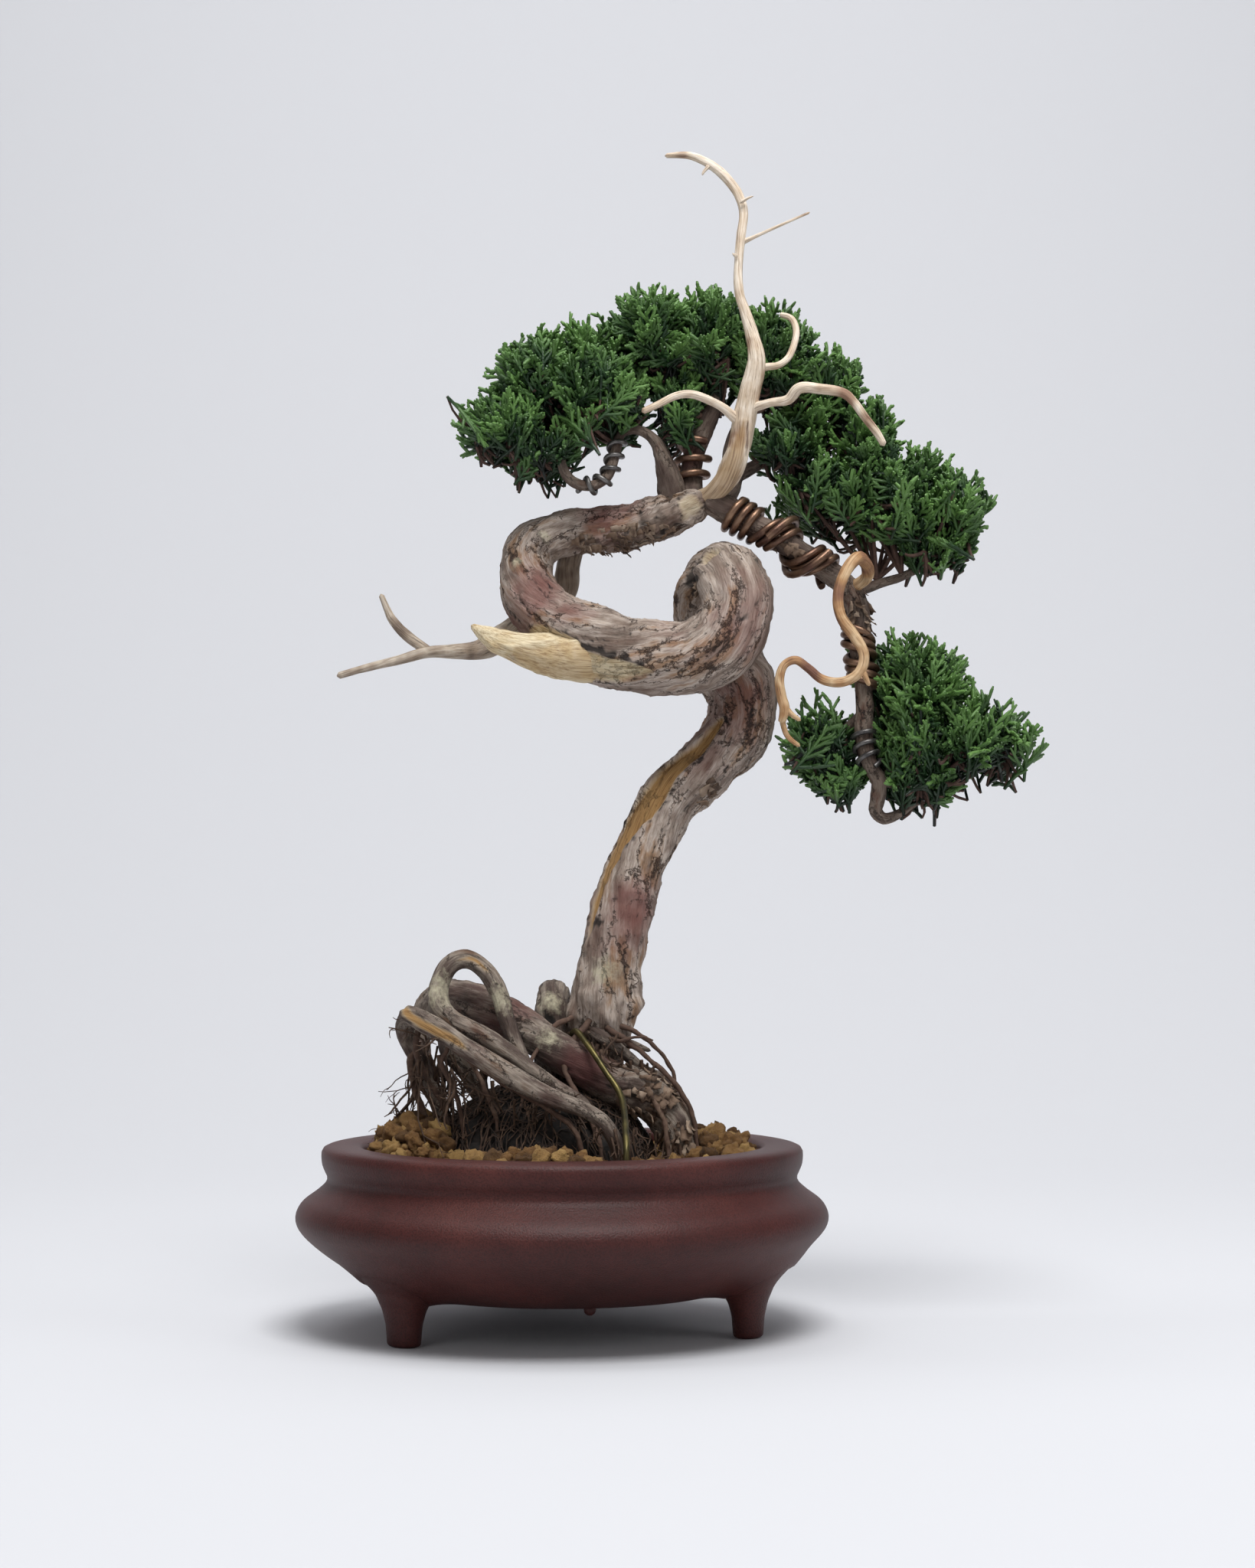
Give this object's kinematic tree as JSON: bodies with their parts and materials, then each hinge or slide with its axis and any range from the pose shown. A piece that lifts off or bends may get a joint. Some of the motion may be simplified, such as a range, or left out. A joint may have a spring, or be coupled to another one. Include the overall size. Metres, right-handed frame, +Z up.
{
  "type": "potted juniper bonsai",
  "caption": "Literati juniper bonsai with a coiled trunk, raised roots, bare deadwood and wired branches with foliage pads, in a round unglazed tripod pot.",
  "frame": {"origin": "middle of the object's bounding box, on the surface the pot stands on", "axes": "+Z up along the tree's height, +X to the tree's right as seen from its front, +Y to its back"},
  "size_m": [0.238, 0.17, 0.3799],
  "materials": {
    "unglazed_clay": "satin",
    "screen_plastic": "matte",
    "soil": "matte",
    "root_fibre": "matte",
    "akadama_clay": "matte",
    "bark": "matte",
    "root_bark": "matte",
    "bleached_deadwood": "matte",
    "tan_deadwood": "matte",
    "anodised_wire": "satin",
    "olive_wire": "satin",
    "juniper_foliage": "matte"
  },
  "bodies": {
    "root": {"pot": "unglazed_clay", "drain_screen": "screen_plastic", "screen_clip": "anodised_wire", "soil_bed": "soil", "root_ball": "root_fibre", "akadama_layer": "akadama_clay", "tie_wire": "olive_wire", "trunk": "bark", "root_raft": "root_bark", "root_front": "root_bark", "root_arch": "root_bark", "root_knee": "root_bark", "root_hanging": "root_bark", "root_brace": "root_bark", "root_spur": "root_bark", "branch_cascade": "bark", "branch_left": "bark", "branch_apex": "bark", "branch_back": "bark", "branch_back_right": "bark", "twig_right_pad": "bark", "twig_cascade_upper": "bark", "twig_cascade_tip": "bark", "twig_cascade_left": "bark", "jin_apex": "bleached_deadwood", "jin_driftwood": "tan_deadwood", "jin_serpentine": "tan_deadwood", "wire_cascade_a": "anodised_wire", "wire_cascade_b": "anodised_wire", "wire_cascade_cross": "anodised_wire", "wire_lower": "anodised_wire", "wire_apex": "anodised_wire", "wire_left_twig": "anodised_wire", "wire_hook": "anodised_wire", "foliage_crown": "juniper_foliage", "foliage_left": "juniper_foliage", "foliage_back_right": "juniper_foliage", "foliage_right": "juniper_foliage", "foliage_cascade": "juniper_foliage", "foliage_cascade_left": "juniper_foliage"}
  },
  "joints": []
}
